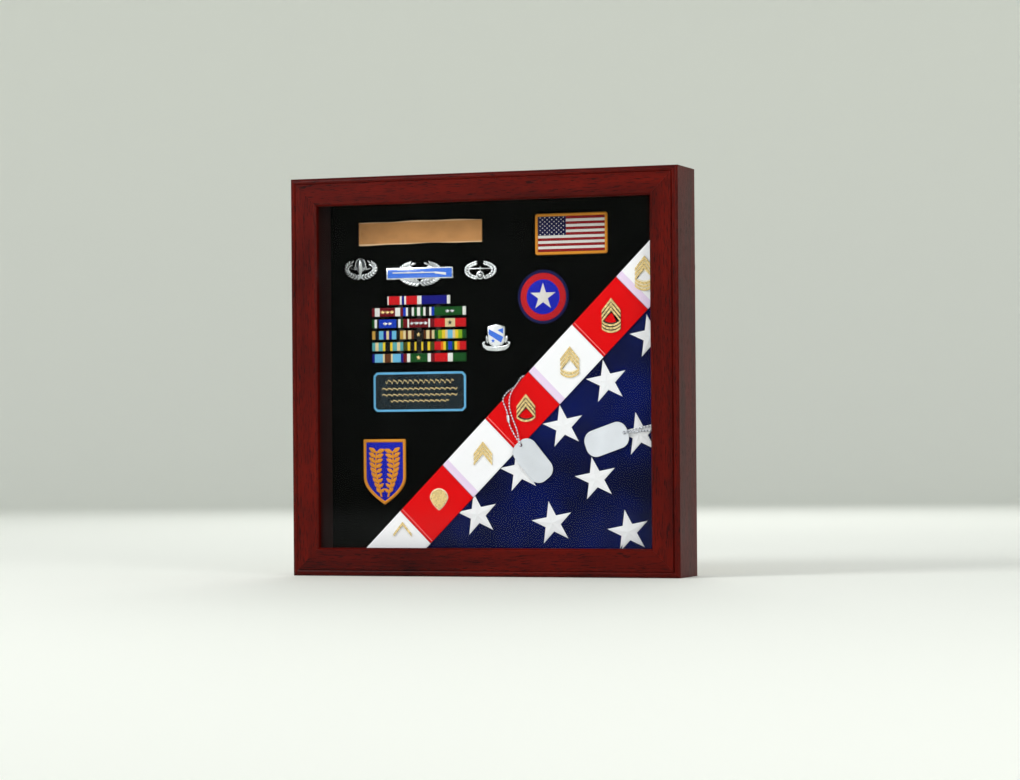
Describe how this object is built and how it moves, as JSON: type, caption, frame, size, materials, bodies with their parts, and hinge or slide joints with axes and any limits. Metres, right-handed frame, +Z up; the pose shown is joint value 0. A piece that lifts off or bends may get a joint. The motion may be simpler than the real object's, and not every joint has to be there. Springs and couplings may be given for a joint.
{
  "type": "folded flag display case",
  "caption": "Square wall-hung wooden shadow box behind glass, holding a flag folded into a triangle with patches, ribbon bars, badges, rank pins and identity tags on black velvet.",
  "frame": {"origin": "middle of the case's width and depth, on its underside", "axes": "+X right seen from the front, +Z up, the glass faces -Y and the wall side faces +Y"},
  "size_m": [0.44, 0.0712, 0.432],
  "materials": {
    "frame_wood": "satin lacquer, red mahogany",
    "back_wood": "plain plywood",
    "spacer_wood": "dark stained, matt",
    "clear_glass": "polished",
    "black_velvet": "velvet pile",
    "board": "matt",
    "zinc_steel": "zinc plated",
    "bumper_rubber": "matt",
    "navy_cloth": "nylon, white sewn stars",
    "striped_cloth": "nylon, red and white stripes",
    "embroidery": "embroidered twill",
    "ribbon_cloth": "ribbed grosgrain",
    "rack_metal": "stamped sheet",
    "gold_enamel": "polished, with dark enamel",
    "silver_badge": "oxidised silver finish",
    "plaque_metal": "engraved blue plate",
    "tag_steel": "dull stainless"
  },
  "bodies": {
    "case": {"back_panel": "back_wood", "backing_board": "board", "badge_bar": "silver_badge", "badge_wings": "silver_badge", "badge_wreath": "silver_badge", "chain_clasp": "tag_steel", "corner_v_nails": "zinc_steel", "crest_pin": "silver_badge", "dog_tag_1": "tag_steel", "dog_tag_2": "tag_steel", "flag_patch": "embroidery", "flag_star_field": "navy_cloth", "flag_stripe_band": "striped_cloth", "frame_bottom": "frame_wood", "frame_left": "frame_wood", "frame_right": "frame_wood", "frame_top": "frame_wood", "glass_pane": "clear_glass", "hanger_plate_left": "zinc_steel", "hanger_plate_right": "zinc_steel", "hanger_screws": "zinc_steel", "name_tape": "embroidery", "plaque": "plaque_metal", "rank_pin_1": "gold_enamel", "rank_pin_2": "gold_enamel", "rank_pin_3": "gold_enamel", "rank_pin_4": "gold_enamel", "rank_pin_5": "gold_enamel", "rank_pin_6": "gold_enamel", "rank_pin_7": "gold_enamel", "ribbon_rack": "rack_metal", "ribbon_row_1": "ribbon_cloth", "ribbon_row_2": "ribbon_cloth", "ribbon_row_3": "ribbon_cloth", "ribbon_row_4": "ribbon_cloth", "ribbon_row_5": "ribbon_cloth", "ribbon_row_6": "ribbon_cloth", "round_patch": "embroidery", "shield_patch": "embroidery", "spacer_bottom": "spacer_wood", "spacer_left": "spacer_wood", "spacer_right": "spacer_wood", "spacer_top": "spacer_wood", "tag_chain_1": "tag_steel", "tag_chain_2": "tag_steel", "turn_button_screws": "zinc_steel", "velvet_cover": "black_velvet", "wall_bumpers": "bumper_rubber"},
    "turn_button_1": {"turn_button_1": "zinc_steel"},
    "turn_button_2": {"turn_button_2": "zinc_steel"},
    "turn_button_3": {"turn_button_3": "zinc_steel"},
    "turn_button_4": {"turn_button_4": "zinc_steel"},
    "turn_button_5": {"turn_button_5": "zinc_steel"},
    "turn_button_6": {"turn_button_6": "zinc_steel"},
    "hanger_ring_left": {"hanger_ring_left": "zinc_steel"},
    "hanger_ring_right": {"hanger_ring_right": "zinc_steel"}
  },
  "joints": [
    {"name": "turn_button_1_pivot", "type": "hinge", "parent": "case", "child": "turn_button_1", "pos_m": [-0.1188, 0.03125, 0.416], "axis": [0, 1, 0], "continuous": true},
    {"name": "turn_button_2_pivot", "type": "hinge", "parent": "case", "child": "turn_button_2", "pos_m": [0.1188, 0.03125, 0.416], "axis": [0, 1, 0], "continuous": true},
    {"name": "turn_button_3_pivot", "type": "hinge", "parent": "case", "child": "turn_button_3", "pos_m": [-0.1188, 0.03125, 0.016], "axis": [0, 1, 0], "continuous": true},
    {"name": "turn_button_4_pivot", "type": "hinge", "parent": "case", "child": "turn_button_4", "pos_m": [0.1188, 0.03125, 0.016], "axis": [0, 1, 0], "continuous": true},
    {"name": "turn_button_5_pivot", "type": "hinge", "parent": "case", "child": "turn_button_5", "pos_m": [-0.204, 0.03125, 0.216], "axis": [0, 1, 0], "continuous": true},
    {"name": "turn_button_6_pivot", "type": "hinge", "parent": "case", "child": "turn_button_6", "pos_m": [0.204, 0.03125, 0.216], "axis": [0, 1, 0], "continuous": true},
    {"name": "hanger_ring_left_swing", "type": "hinge", "parent": "case", "child": "hanger_ring_left", "pos_m": [-0.209, 0.03278, 0.33264], "axis": [1, 0, 0], "range_deg": [0, 180]},
    {"name": "hanger_ring_right_swing", "type": "hinge", "parent": "case", "child": "hanger_ring_right", "pos_m": [0.209, 0.03278, 0.33264], "axis": [1, 0, 0], "range_deg": [0, 180]}
  ]
}
